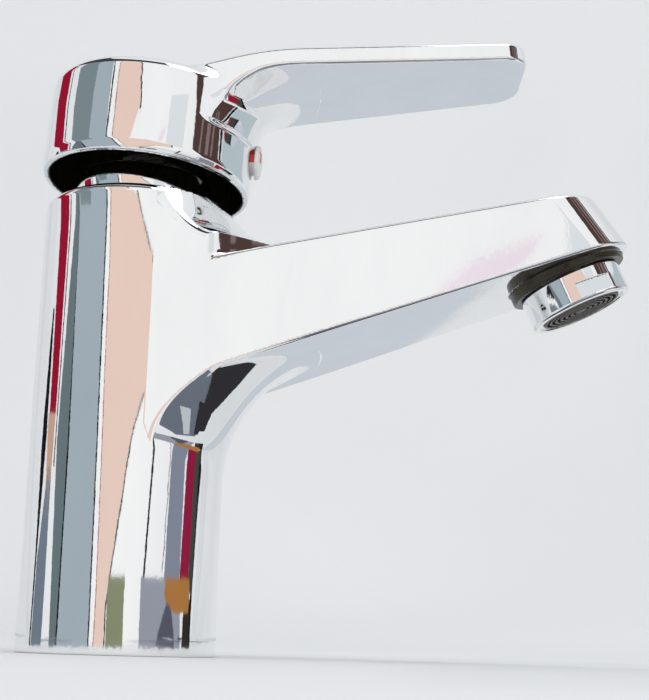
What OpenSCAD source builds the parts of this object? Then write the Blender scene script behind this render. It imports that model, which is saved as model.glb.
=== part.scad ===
// Single-lever basin mixer with a ceramic disc cartridge.
// Origin: centre of the base on the deck. +Z up, +X along the spout.
// The lever is modelled closed, which is its lowest position.

/* [Column] */
// Diameter of the round column
column_d = 50; // [46:0.5:60]
// Height of the column's shoulder above the deck
column_h = 117; // [105:0.5:150]
// Radius of the shoulder's rounded edge
shoulder_r = 2.4; // [1:0.1:3.5]
// Diameter of the hollow in the base, where hoses and stud come up
recess_d = 43; // [38:0.5:46]
// Depth of the hollow in the base
recess_h = 46; // [30:1:60]

/* [Spout] */
// Distance from the column's axis to the lip of the nose
reach = 129.5; // [110:0.5:160]
// Height of the lip above the deck
lip_h = 108; // [100:0.5:140]
// Rise of the spout's underside, in degrees
under_rise = 20; // [12:0.5:24]
// Rise of the spout's top, in degrees
top_rise = 12.8; // [8:0.2:16]
// Lean of the nose face from the vertical, in degrees
nose_lean = 35.5; // [15:0.5:45]
// Length of the slanting nose face
nose_l = 15.5; // [11:0.5:20]
// Width of the spout at the column
root_w = 47.6; // [40:0.2:49.8]
// Width of the spout near the nose
tip_w = 39; // [36:0.2:44]
// Radius of the nose's corners, seen from above
nose_r = 13; // [6:0.5:16]
// Radius of the fillet under the spout
under_fillet = 37; // [15:1:45]
// Slope at the top of the hump that runs from the shoulder down to the spout
hump_slope = 55; // [40:1:75]
// Radius of the hump's crown, seen from the front
crown_r = 30; // [26:0.5:50]
// Diameter of the waterway in the spout
waterway_d = 9.6; // [7:0.2:11]

/* [Aerator] */
// Outer diameter of the aerator housing
aerator_d = 27.2; // [26:0.1:30]
// Height of the housing that shows below the collar
aerator_h = 8.2; // [6:0.1:12]
// Diameter of the aerator's outlet opening
outlet_d = 23.4; // [22:0.1:24]
// Major diameter of the aerator's thread
thread_d = 24; // [24:0.5:24]
// Distance between the spanner flats
flats_w = 25.2; // [24:0.1:26]
// Tilt of the outlet from straight down, in degrees
outlet_tilt = 23.5; // [10:0.5:26]
// Diameter of the collar around the aerator
collar_d = 31.2; // [30:0.2:34]

/* [Handle] */
// Diameter of the cap at its rim
cap_d = 55.2; // [52:0.2:62]
// How much the cap's side bulges, on the radius
cap_bulge = 0.7; // [0:0.1:1.5]
// Height of the cap from rim to top
cap_h = 26; // [22:0.5:34]
// Thickness of the cap's wall
cap_wall = 1.6; // [1:0.1:2.2]
// Forward lean of the closed cap, in degrees
cap_lean = 4; // [0:0.5:6]
// Height of the cap's rim above the pivot
rim_rise = 14; // [13:0.5:18]
// Distance from the column's axis to the lever's tip
lever_reach = 102.4; // [80:0.5:125]
// Width of the lever where it leaves the cap
lever_root_w = 43.2; // [34:0.2:48]
// Width of the lever at its tip
lever_tip_w = 27.4; // [18:0.2:34]
// Thickness of the lever's edge
lever_t = 5; // [3.5:0.1:7]
// Rise of the lever's blade, in degrees
lever_rise = 5.6; // [0:0.2:10]
// Rise of the lever's root ramp, in degrees
ramp_rise = 18.7; // [12:0.2:24]
// Radius of the web between the cap and the lever's underside
web_r = 19; // [8:0.5:24]
// Radius of the lever tip's corners
lever_tip_r = 7; // [3:0.5:10]
// Diameter of the index plug's head
plug_d = 9.2; // [8.4:0.1:11]

/* [Cartridge] */
// Outer diameter of the cartridge
cartridge_d = 34.8; // [34.8:0.1:35.2]
// Height of the cartridge's body
cartridge_h = 24.4; // [24:0.1:26]
// Depth of the cartridge's seat below the column's shoulder
seat_depth = 33; // [32:0.5:36]
// Width of the square spindle
spindle_w = 8; // [7:0.1:9]
// Diameter of the pivot pin
pin_d = 4; // [3:0.1:4.4]
// Diameter of the sliding ceramic disc
slide_disc_d = 26.2; // [24:0.1:26.4]
// Offset of the sliding disc when closed
slide_offset = 2; // [1:0.1:2.3]
// Distance from the pivot down to the spindle's ball
ball_arm = 8.6; // [7.6:0.1:9]

/* [Ports] */
// Tapping diameter of the hose ports, M10 x 1
hose_port_d = 9; // [9:0.1:9.2]
// Depth of the hose ports and of the stud's hole
port_depth = 14; // [10:0.5:20]
// Tapping diameter of the stud's hole, M8
stud_hole_d = 6.8; // [6.6:0.1:7]
// Distance between the hose ports
hose_pitch = 17; // [15:0.5:20]
// Diameter of the water channels
channel_d = 6; // [4:0.2:7]

/* [Fits] */
// Gap between fixed pieces that sit in one another
seat_gap = 0.05; // [0.02:0.01:0.1]
// Radial clearance of turning pieces
run_gap = 0.05; // [0.02:0.01:0.1]
// Gap between sliding faces
slide_gap = 0.1; // [0.05:0.01:0.2]

/* [Hidden] */
$fn = 96;
eps = 0.01;
column_r = column_d / 2;

// Heights in the cartridge, all above the deck
seat_h = column_h - seat_depth;
seal_r = 0.85;
base_z = seat_h + 0.6;
base_flange_h = 1.8;
base_h = 5.3;
fixed_z = base_z + base_h + slide_gap;
disc_t = 3.9;
moving_z = fixed_z + disc_t + slide_gap;
carrier_z = moving_z + disc_t + slide_gap;
carrier_disc_h = 2.2;
carrier_h = 4.8;
guide_z = carrier_z + carrier_h + slide_gap;
flange_h = 2.6;
ring_h = 1;
slip_z = guide_z + flange_h + slide_gap / 2;
shoulder_z = seat_h + cartridge_h;
plate_h = shoulder_z - slip_z - ring_h - slide_gap / 2;
pivot_z = guide_z + 7.3;
guide_top = pivot_z + 4.5;
cartridge_top = guide_top + 0.5;

// Clips of the cartridge's base
clip_w = 5.6;
clip_h = 1.3;
clip_z = base_z + base_flange_h + 1.1;

// Radii in the cartridge
cartridge_r = cartridge_d / 2;
shell_wall = 1.5;
shell_r = cartridge_r - shell_wall;
fixed_r = shell_r - 0.6;
flange_r = shell_r - 0.3;
neck_r = 11.1;
guide_neck_r = neck_r - run_gap;
dome_r = neck_r + 1.6;
slide_r = slide_disc_d / 2;
rail_y = 9.2;
spindle_slot = 19;
ball_r = 2.6;
ball_x = -ball_arm * sin(cap_lean);
seal_ring_r = channel_d / 2 + 0.35;

// Water ports, the same in seat, base and fixed disc
inlet_x = -5;
inlet_y = hose_pitch / 2;
outlet_x = 8.5;
stud_x = 12;
inlet_places = [[inlet_x, -inlet_y], [inlet_x, inlet_y]];
port_places = [[inlet_x, -inlet_y], [inlet_x, inlet_y], [outlet_x, 0]];
locating_places = [[-12.6, 0], [4, 12.4]];
locating_r = 1.6;

// Ring in the base's groove
gasket_w = 1.6;
gasket_t = 1.5;
groove_r = (column_r + recess_d / 2) / 2 - 0.2;

// Bore for the cartridge and the nut above it
bore_r = cartridge_r + 0.2;
mouth_r = cartridge_r + 1.1;
nut_z = shoulder_z + seat_gap;
nut_bore_r = dome_r + 0.3;
nut_collar_r = 16.2;
nut_collar_z = column_h - 0.4;
hex_z = nut_collar_z + 3.6;
hex_h = 3;
hex_across_flats = 28.8;
neck_inner_r = 16.9;
neck_outer_r = 18.1;
neck_h = 8.6;
neck_o_r = 0.75;

// Spout lines: the underside passes through the lip, and the sides taper
// over this share of the reach
spout_taper = 0.62;
function under_z(x) = lip_h - (reach - x) * tan(under_rise);
nose_top_x = reach - nose_l * sin(nose_lean);
nose_top_z = lip_h + nose_l * cos(nose_lean);
function top_z(x) = nose_top_z - (nose_top_x - x) * tan(top_rise);

// Outlet: centre of the aerator's rim, found along its axis from the spout
rim_drop = 10.6;
outlet_back = 15.2;
outlet_on_spout_x = reach - outlet_back;
rim_x = outlet_on_spout_x + rim_drop * sin(outlet_tilt);
rim_z = under_z(outlet_on_spout_x) - rim_drop * cos(outlet_tilt);

// Aerator, heights measured from the rim into the spout
aerator_r = aerator_d / 2;
aerator_bore_r = thread_d / 2 - 1.2;
lip_t = 1.2;
cage_z = lip_t + seat_gap;
cage_h = 6.4;
screen_t = 0.4;
screen_z = cage_z + cage_h + seat_gap;
screen_gap = 0.3;
washer_z = screen_z + 2 * screen_t + screen_gap + seat_gap;
washer_top = aerator_h + 6.5;

// Handle, heights measured from the pivot along the spindle
spindle_top = 34.6;
cap_r = cap_d / 2;
cap_top = rim_rise + cap_h;
hub_z = rim_rise + 7;
hub_r = 7.6;
plug_z = rim_rise + 10.4;
plug_hole_r = 3.6;
screw_r = 2.1;

// Lever: the ramp starts at ramp_x, the flat blade at blade_x
ramp_x = 16;
blade_x = ramp_x + 18;
ramp_z = pivot_z + cap_top * cos(cap_lean) - ramp_x * sin(cap_lean) + 1.4;
blade_z = ramp_z + (blade_x - ramp_x) * tan(ramp_rise);
function blade_top(x) = blade_z + (x - blade_x) * tan(lever_rise);

// ---------- helpers ----------

// Points of an arc about [cx, cy], from angle a to angle b
function arc(cx, cy, r, a, b, n) =
    [for (i = [0:n]) [cx + r * cos(a + (b - a) * i / n), cy + r * sin(a + (b - a) * i / n)]];

// Extrudes an outline drawn in X and Z along Y, to both sides
module side_extrude(width) {
    rotate([90, 0, 0])
        linear_extrude(width, center = true)
            children();
}

module ring(outer_r, inner_r, h) {
    difference() {
        cylinder(r = outer_r, h = h);
        translate([0, 0, -1])
            cylinder(r = inner_r, h = h + 2);
    }
}

module torus(r, section_r) {
    rotate_extrude()
        translate([r, 0])
            circle(r = section_r, $fn = 24);
}

module holes(places, r, z0, z1) {
    for (p = places)
        translate([p[0], p[1], z0])
            cylinder(r = r, h = z1 - z0, $fn = 48);
}

// Places its children in the outlet's frame: z runs from the rim into the spout
module at_outlet() {
    translate([rim_x, 0, rim_z])
        rotate([0, -outlet_tilt, 0])
            children();
}

// Places its children in the handle's frame: z runs up the spindle from the pivot
module at_spindle() {
    translate([0, 0, pivot_z])
        rotate([0, cap_lean, 0])
            children();
}

// ---------- body ----------

module column_solid() {
    r = column_r - shoulder_r;
    rotate_extrude($fn = 128)
        polygon(concat([[0, 0], [column_r, 0]],
                       arc(r, column_h - shoulder_r, shoulder_r, 0, 90, 8),
                       [[0, column_h]]));
}

// Side view of the spout
module spout_profile() {
    blunt = 1.6;
    polygon([[0, under_z(0)], [reach - 1, under_z(reach - 1)], [reach, lip_h + 0.4],
             [nose_top_x, nose_top_z - 0.8], [nose_top_x - blunt, top_z(nose_top_x - blunt)],
             [0, top_z(0)]]);
}

// Fills the corner between the column and the spout's underside, all round
module under_web() {
    tangent = under_fillet / tan((90 + under_rise) / 2);
    cx = column_r + under_fillet;
    cz = under_z(column_r) - tangent;
    end_x = column_r + tangent * cos(under_rise);
    intersection() {
        rotate_extrude($fn = 128)
            difference() {
                translate([0, cz])
                    square([end_x, under_z(end_x) - cz]);
                translate([cx, cz])
                    circle(r = under_fillet, $fn = 128);
            }
        side_extrude(column_d)
            polygon([[0, cz], [end_x, cz], [end_x, under_z(end_x) + eps], [0, under_z(0) + eps]]);
    }
}

// Outline of the spout, drawn square to the nose face and pushed along it
module spout_outline() {
    back = -(reach + lip_h);
    straight = -spout_taper * reach;
    w0 = root_w / 2;
    w1 = tip_w / 2;
    polygon(concat([[back, -w0], [straight, -w0]],
                   arc(-nose_r, -w1 + nose_r, nose_r, -90, 0, 10),
                   arc(-nose_r, w1 - nose_r, nose_r, 0, 90, 10),
                   [[straight, w0], [back, w0]]));
}

module spout_plan() {
    translate([reach, 0, lip_h])
        rotate([0, -nose_lean, 0])
            linear_extrude(2 * (reach + lip_h), center = true)
                spout_outline();
}

// Sweeps down from the shoulder all round, crowned, and is cut off by the spout's sides
module hump() {
    rim_r = column_r - 0.6;
    rise = column_h - top_z(rim_r);
    r = rise / (1 / cos(top_rise) - cos(hump_slope) + sin(hump_slope) * tan(top_rise));
    cx = rim_r + r * sin(hump_slope);
    foot_z = min(under_z(cx) + 2, top_z(column_r) - 4);
    intersection() {
        rotate_extrude($fn = 128)
            difference() {
                translate([0, foot_z])
                    square([cx, column_h - foot_z]);
                translate([cx, column_h + r * cos(hump_slope)])
                    circle(r = r, $fn = 128);
            }
        translate([column_r * 0.2, 0, column_h + 1 - crown_r])
            rotate([0, 90, 0])
                cylinder(r = crown_r, h = 2 * column_d, $fn = 128);
        translate([0, -column_r, foot_z])
            cube([2 * column_d, column_d, column_h]);
    }
}

module spout_solid() {
    intersection() {
        union() {
            side_extrude(column_d)
                spout_profile();
            under_web();
            hump();
        }
        spout_plan();
    }
}

module waterway() {
    start = [outlet_x, seat_h - 7.5];
    end = [outlet_on_spout_x - 2, under_z(outlet_on_spout_x) + 7.6];
    run = end - start;
    slope = atan(run[1] / run[0]);
    translate([start[0], 0, start[1]])
        rotate([0, 90 - slope, 0])
            cylinder(d = waterway_d, h = norm(run), $fn = 48);
    translate([start[0], 0, start[1]])
        sphere(d = waterway_d, $fn = 48);
    translate([outlet_x, 0, start[1]])
        cylinder(d = waterway_d - 1.2, h = seat_h - start[1] + 1, $fn = 48);
}

module body() {
    color("silver") difference() {
        union() {
            column_solid();
            spout_solid();
            at_outlet()
                translate([0, 0, aerator_h + 0.2])
                    cylinder(d = collar_d, h = 5);
        }
        translate([0, 0, -1])
            cylinder(d = recess_d, h = recess_h + 1);
        translate([0, 0, -1])
            ring(groove_r + gasket_w / 2, groove_r - gasket_w / 2, 1 + gasket_t + seat_gap);
        translate([0, 0, seat_h])
            cylinder(r = bore_r, h = column_h);
        translate([0, 0, shoulder_z])
            cylinder(r = mouth_r, h = column_h);
        holes(locating_places, locating_r + seat_gap, seat_h - 3, seat_h + 1);
        holes(inlet_places, channel_d / 2, recess_h, seat_h + 1);
        holes(inlet_places, hose_port_d / 2, recess_h - 1, recess_h + port_depth);
        holes([[stud_x, 0]], stud_hole_d / 2, recess_h - 1, recess_h + port_depth);
        waterway();
        at_outlet() {
            cylinder(r = thread_d / 2, h = washer_top + 0.1);
            cylinder(r = 8.4, h = aerator_h + 10);
        }
    }
}

module base_gasket() {
    half = gasket_w / 2 - seat_gap;
    color("dimgray")
        ring(groove_r + half, groove_r - half, gasket_t);
}

// ---------- neck ----------

module neck_ring() {
    edge = 1.4;
    lip_r = nut_bore_r + 0.4;
    top = neck_h;
    color("silver") translate([0, 0, column_h + seat_gap])
        rotate_extrude($fn = 128)
            polygon(concat([[neck_inner_r, 0], [neck_outer_r, 0]],
                           arc(neck_outer_r - edge, top - edge, edge, 0, 90, 6),
                           [[lip_r, top], [lip_r, top - 1.2], [neck_inner_r, top - 1.2]]));
}

module neck_o_ring() {
    color("dimgray") translate([0, 0, nut_collar_z + 1.8])
        torus(neck_inner_r - neck_o_r - 0.03, neck_o_r);
}

module cartridge_nut() {
    groove = 1.15;
    color("goldenrod") difference() {
        union() {
            translate([0, 0, nut_z])
                cylinder(r = mouth_r - seat_gap, h = nut_collar_z - nut_z);
            translate([0, 0, nut_collar_z - eps])
                cylinder(r = nut_collar_r, h = hex_z - nut_collar_z + eps);
            translate([0, 0, hex_z - eps])
                cylinder(r = hex_across_flats / 2 / cos(30), h = hex_h, $fn = 6);
        }
        translate([0, 0, nut_z - 1])
            cylinder(r = nut_bore_r, h = column_h);
        translate([0, 0, nut_collar_z + 1.8 - neck_o_r - 0.05])
            ring(nut_collar_r + 1, nut_collar_r - groove + 0.2, 2 * neck_o_r + 0.1);
    }
}

// ---------- cartridge ----------

module cartridge_housing() {
    color("white") difference() {
        union() {
            translate([0, 0, base_z + base_flange_h + seat_gap])
                cylinder(r = cartridge_r, h = shoulder_z - base_z - base_flange_h - seat_gap);
            cylinder_between(dome_r, shoulder_z - eps, cartridge_top);
        }
        cylinder_between(shell_r, base_z, shoulder_z - plate_h);
        cylinder_between(neck_r, base_z, cartridge_top + 1);
        // Two windows where the base's clips snap in
        for (side = [-1, 1])
            translate([-clip_w / 2 - 0.2, side * cartridge_r - 2, clip_z - slide_gap])
                cube([clip_w + 0.4, 4, clip_h + 0.3]);
    }
}

module cylinder_between(r, z0, z1) {
    translate([0, 0, z0])
        cylinder(r = r, h = z1 - z0);
}

module cartridge_base() {
    color("gainsboro") difference() {
        union() {
            cylinder_between(cartridge_r - 0.1, base_z, base_z + base_flange_h);
            cylinder_between(shell_r - seat_gap, base_z, base_z + base_h);
            holes(locating_places, locating_r, seat_h - 2.6, base_z + 1);
            // Clips that snap into the housing's windows
            intersection() {
                cylinder_between(cartridge_r - 0.1, base_z, clip_z + clip_h);
                translate([-clip_w / 2, -cartridge_r, clip_z])
                    cube([clip_w, 2 * cartridge_r, clip_h]);
            }
        }
        holes(port_places, channel_d / 2, seat_h - 3, fixed_z + 1);
        for (p = port_places) {
            translate([p[0], p[1], base_z - 1])
                cylinder(r = seal_ring_r + seal_r + 0.1, h = 1 + 2 * seal_r - 0.6 + seat_gap, $fn = 48);
            translate([p[0], p[1], base_z + base_h - seal_r])
                cylinder(r = seal_ring_r + 0.6, h = seal_r + 1, $fn = 48);
        }
    }
}

// Rubber rings in the base's underside, pressed on the seat
module seat_seals() {
    color("dimgray")
        for (p = port_places)
            translate([p[0], p[1], seat_h + seal_r])
                torus(seal_ring_r, seal_r);
}

// Flat rings between the base and the fixed disc
module port_seals() {
    color("dimgray")
        for (p = port_places)
            translate([p[0], p[1], base_z + base_h - seal_r + seat_gap])
                ring(seal_ring_r + 0.5, channel_d / 2 - 0.5, seal_r + slide_gap - 2 * seat_gap);
}

module fixed_disc() {
    color("white") difference() {
        cylinder_between(fixed_r, fixed_z, fixed_z + disc_t);
        holes(port_places, channel_d / 2 - 0.4, fixed_z - 1, fixed_z + disc_t + 1);
        for (side = [-1, 1])
            translate([-2, side * fixed_r - 1.2, fixed_z - 1])
                cube([4, 2.4, disc_t + 2]);
    }
}

module moving_disc() {
    pocket = 2.2;
    color("whitesmoke") translate([-slide_offset, 0, 0]) difference() {
        cylinder_between(slide_r, moving_z, moving_z + disc_t);
        // The mixing pocket in the underside
        translate([4.5, 0, moving_z - 1])
            cylinder(r = 6, h = pocket + 1);
        for (side = [-1, 1])
            translate([-6.5, side * 8, moving_z + disc_t - 1.2])
                cylinder(r = 1.7, h = 3, $fn = 48);
    }
}

module disc_carrier() {
    color("lightgray") translate([-slide_offset, 0, 0]) difference() {
        union() {
            cylinder_between(slide_r, carrier_z, carrier_z + carrier_disc_h);
            intersection() {
                cylinder_between(slide_r, carrier_z, carrier_z + carrier_h);
                translate([-slide_r, -rail_y + slide_gap, carrier_z])
                    cube([2 * slide_r, 2 * (rail_y - slide_gap), carrier_h]);
            }
            for (side = [-1, 1])
                translate([-6.5, side * 8, carrier_z - 1.2])
                    cylinder(r = 1.6, h = 1.4, $fn = 48);
        }
        // Slot across for the spindle's ball
        translate([slide_offset + ball_x - ball_r - 0.2, -5, pivot_z - ball_arm - ball_r - 0.2])
            cube([2 * ball_r + 0.4, 10, carrier_h + 2]);
    }
}

module slip_ring() {
    color("white") translate([0, 0, slip_z])
        ring(flange_r - 0.4, neck_r + 0.3, ring_h);
}

module swivel_guide() {
    rail_t = 2.2;
    color("whitesmoke") difference() {
        union() {
            cylinder_between(flange_r, guide_z, guide_z + flange_h);
            cylinder_between(guide_neck_r, guide_z, guide_top);
            intersection() {
                cylinder_between(slide_r - 0.6, carrier_z + carrier_disc_h + slide_gap, guide_z + 1);
                for (side = [-1, 1])
                    translate([-slide_r, side * (rail_y + rail_t / 2) - rail_t / 2, carrier_z])
                        cube([2 * slide_r, rail_t, carrier_h + 3]);
            }
        }
        translate([-spindle_slot / 2, -spindle_w / 2 - slide_gap, guide_z - 1])
            cube([spindle_slot, spindle_w + 2 * slide_gap, guide_top]);
        translate([0, 0, pivot_z])
            rotate([90, 0, 0])
                cylinder(d = pin_d, h = 4 * neck_r, center = true, $fn = 48);
    }
}

module pivot_pin() {
    color("silver") translate([0, 0, pivot_z])
        rotate([90, 0, 0])
            cylinder(r = pin_d / 2 - 0.01, h = 2 * guide_neck_r - 1.6, center = true, $fn = 48);
}

module spindle() {
    w = spindle_w;
    color("silver") at_spindle() difference() {
        union() {
            translate([-w / 2, -w / 2, -3.4])
                cube([w, w, spindle_top - 1 + 3.4]);
            translate([-w / 2 + 1, -w / 2 + 1, spindle_top - 1 - eps])
                cube([w - 2, w - 2, 1 + eps]);
            translate([-1.7, -w / 2, -ball_arm])
                cube([3.4, w, ball_arm]);
            translate([0, 0, -ball_arm])
                rotate([90, 0, 0])
                    cylinder(r = ball_r, h = w, center = true, $fn = 48);
        }
        rotate([90, 0, 0])
            cylinder(r = pin_d / 2 + run_gap / 2, h = 2 * w, center = true, $fn = 48);
        // Slot that lets the square end spring in the handle
        translate([-0.6, -w, spindle_top - 9])
            cube([1.2, 2 * w, 10]);
    }
}

// ---------- handle ----------

// Radius of the cap's outside at a height above its rim
function cap_out(h) = cap_r + cap_bulge * sin(180 * min(h, cap_h) / cap_h);

module cap_solid() {
    edge = 3;
    side = [for (i = [0:6]) let (h = (cap_h - edge) * i / 6) [cap_out(h), rim_rise + h]];
    top_r = cap_out(cap_h - edge);
    rotate_extrude($fn = 128)
        polygon(concat([[0, rim_rise]], side,
                       arc(top_r - edge, cap_top - edge, edge, 10, 90, 6),
                       [[0, cap_top + 0.6]]));
}

module cap_hollow() {
    depth = cap_h - 4;
    inner = [for (i = [0:6]) let (h = depth * i / 6) [cap_out(h) - cap_wall, rim_rise + h]];
    rotate_extrude($fn = 128)
        polygon(concat([[0, rim_rise - 1], [cap_out(0) - 0.8, rim_rise - 1]],
                       [[cap_out(0) - 0.8, rim_rise]], inner,
                       [[cap_out(depth) - cap_wall - 2.5, rim_rise + depth + 0.01]],
                       [[0, rim_rise + depth]]));
}

// Side view of the lever in the part's own frame
module lever_profile() {
    t = lever_t;
    nose = 3;
    x3 = lever_reach - nose;
    polygon(concat([[0, ramp_z - 1.2], [8, ramp_z - 1], [ramp_x, ramp_z]],
                   [[blade_x - 2, blade_top(blade_x - 2) - 0.5], [blade_x + 2, blade_top(blade_x + 2)]],
                   arc(x3, blade_top(x3) - nose, nose, 85, 0, 5),
                   [[lever_reach - 1, blade_top(x3) - t], [blade_x + 2, blade_top(blade_x + 2) - t]],
                   [[ramp_x, ramp_z - t], [0, ramp_z - t]]));
}

// Fills the corner between the cap's wall and the underside of the lever
module lever_web() {
    wall_r = cap_r + cap_bulge;
    cx = wall_r + web_r;
    rise = lever_rise + cap_lean;
    // The blade's underside where the web ends, in the spindle's frame
    under = [cx, blade_top(cx) - lever_t - pivot_z];
    cz = under[1] * cos(cap_lean) + under[0] * sin(cap_lean) - web_r / cos(rise) - 0.4;
    intersection() {
        at_spindle()
            rotate_extrude($fn = 128)
                difference() {
                    translate([cap_r - 4, cz])
                        square([web_r, web_r]);
                    translate([cx, cz])
                        circle(r = web_r, $fn = 128);
                }
        side_extrude(lever_root_w + 2)
            polygon([[ramp_x * 0.8, pivot_z], [cx, pivot_z], [cx, blade_top(cx) - 1],
                     [blade_x, blade_z - 1], [ramp_x * 0.8, ramp_z - 2]]);
    }
}

// Outline of the lever seen from above
module lever_outline() {
    w0 = lever_root_w / 2;
    w1 = lever_tip_w / 2;
    r = lever_tip_r;
    x0 = 17.5;
    polygon(concat([[0, -w0 * 0.9], [x0, -w0]],
                   arc(lever_reach - r, -w1 + r, r, -90, 0, 6),
                   arc(lever_reach - r, w1 - r, r, 0, 90, 6),
                   [[x0, w0], [0, w0 * 0.9]]));
}

module lever_solid() {
    intersection() {
        union() {
            side_extrude(lever_root_w + 2)
                lever_profile();
            lever_web();
        }
        linear_extrude(400)
            lever_outline();
    }
}

module handle() {
    color("silver") difference() {
        union() {
            difference() {
                union() {
                    at_spindle()
                        cap_solid();
                    lever_solid();
                }
                at_spindle()
                    cap_hollow();
            }
            at_spindle()
                translate([0, 0, hub_z])
                    cylinder(r = hub_r, h = cap_top - hub_z - 1.5);
        }
        at_spindle() {
            // Square socket for the spindle
            translate([-spindle_w / 2 - seat_gap, -spindle_w / 2 - seat_gap, hub_z - 1])
                cube([spindle_w + 2 * seat_gap, spindle_w + 2 * seat_gap, spindle_top - hub_z + 1.3]);
            // Tapped hole in the hub for the grub screw
            translate([0, 0, plug_z])
                rotate([0, 90, 0])
                    cylinder(r = screw_r, h = hub_r + 2, $fn = 48);
            // Hole in the cap's front for the key and the index plug
            translate([hub_r + 3, 0, plug_z])
                rotate([0, 90, 0])
                    cylinder(r = plug_hole_r, h = cap_r, $fn = 48);
        }
    }
}

module grub_screw() {
    start = spindle_w / 2 + seat_gap;
    len = hub_r - start - 0.2;
    color("gray") at_spindle() translate([start, 0, plug_z])
        rotate([0, 90, 0])
            difference() {
                cylinder(r = screw_r - seat_gap, h = len, $fn = 48);
                translate([0, 0, len - 1.6])
                    cylinder(r = 1.15, h = 3, $fn = 6);
            }
}

module index_plug() {
    seat_x = cap_out(plug_z - rim_rise) - 0.35;
    wall_gap = 0.7;
    head_h = 2.6;
    r = plug_d / 2;
    color("white") at_spindle() translate([seat_x, 0, plug_z])
        rotate([0, 90, 0])
            difference() {
                union() {
                    translate([0, 0, -3])
                        cylinder(r = plug_hole_r - seat_gap, h = 3 + eps, $fn = 48);
                    rotate_extrude()
                        polygon(concat([[0, 0], [r, 0], [r, head_h - 1.4]],
                                       arc(r - 1.4, head_h - 1.4, 1.4, 15, 80, 4),
                                       [[0, head_h]]));
                }
                // Clears the cap's round wall behind the head
                translate([0, 0, -seat_x])
                    rotate([0, -90, 0])
                        difference() {
                            cylinder(r = seat_x + wall_gap, h = 2 * plug_d, center = true);
                            rotate([0, 90, 0])
                                cylinder(r = plug_hole_r, h = 2 * cap_r, $fn = 48);
                        }
            }
}

// ---------- aerator ----------

module aerator_housing() {
    chamfer = 0.9;
    flat = flats_w / 2;
    turn = 10.5;
    h = aerator_h;
    color("silver") at_outlet() difference() {
        union() {
            rotate_extrude()
                polygon([[0, 0], [aerator_r - chamfer, 0], [aerator_r, chamfer],
                         [aerator_r, h - 0.4], [aerator_r - 0.4, h], [0, h]]);
            cylinder(r = thread_d / 2 - seat_gap, h = h + 5.4);
        }
        // Stepped bore: the outlet lip, then the chamber of the insert
        translate([0, 0, -1])
            cylinder(r = outlet_d / 2 - 1.1, h = lip_t + 2);
        translate([0, 0, -1])
            cylinder(r = outlet_d / 2, h = 1.6);
        translate([0, 0, lip_t])
            cylinder(r = aerator_bore_r, h = h + 6);
        // Two spanner flats, on opposite sides
        for (side = [-1, 1])
            rotate([0, 0, turn])
                translate([-aerator_r, side * (flat + 2) - 2, 0.9])
                    cube([2 * aerator_r, 4, 3.9]);
    }
}

module aerator_cage() {
    r = aerator_bore_r - seat_gap;
    ways = 12;
    color("whitesmoke") at_outlet() difference() {
        cylinder_between(r, cage_z, cage_z + cage_h);
        // Wide mixing chamber below, a ring of jets above
        cylinder_between(r - 1.1, cage_z - 1, cage_z + cage_h - 1.6);
        for (i = [0:ways - 1])
            rotate([0, 0, 360 * i / ways])
                translate([r - 3.4, 0, cage_z])
                    cylinder(r = 0.7, h = cage_h + 1, $fn = 24);
    }
}

module aerator_screens() {
    r = aerator_bore_r - 0.3;
    color("gray") at_outlet()
        for (i = [0, 1])
            translate([0, 0, screen_z + i * (screen_t + screen_gap)])
                cylinder(r = r, h = screen_t);
}

// Concentric blades on six spokes, in the aerator's mouth
module aerator_grid() {
    blades = 6;
    r = outlet_d / 2 - 1.25;
    hub_w = 1.6;
    blade_t = 0.7;
    start_z = 0.2;
    h = cage_z - seat_gap - start_z;
    color("darkolivegreen") at_outlet() translate([0, 0, start_z]) {
        cylinder(r = hub_w, h = h);
        for (i = [1:blades])
            ring(hub_w + (r - hub_w) * i / blades, hub_w + (r - hub_w) * i / blades - blade_t, h);
        for (i = [0:2])
            rotate([0, 0, 60 * i])
                translate([-r + 0.2, -blade_t / 2, h / 2])
                    cube([2 * r - 0.4, blade_t, h / 2]);
    }
}

module aerator_washer() {
    color("dimgray") at_outlet() translate([0, 0, washer_z])
        ring(aerator_bore_r - seat_gap, 8.6, washer_top - washer_z);
}

body();
base_gasket();
neck_ring();
neck_o_ring();
cartridge_nut();
cartridge_housing();
cartridge_base();
seat_seals();
port_seals();
fixed_disc();
moving_disc();
disc_carrier();
slip_ring();
swivel_guide();
pivot_pin();
spindle();
handle();
grub_screw();
index_plug();
aerator_housing();
aerator_cage();
aerator_screens();
aerator_grid();
aerator_washer();
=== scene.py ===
"""Looks of a single-lever basin mixer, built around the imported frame.

Lengths in the shape functions are millimetres, in the frame of the CAD part:
origin at the centre of the base, +Z up, +X along the spout.
"""
import math

import bpy
import numpy as np
import openvdb
from mathutils import Matrix, Vector

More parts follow.
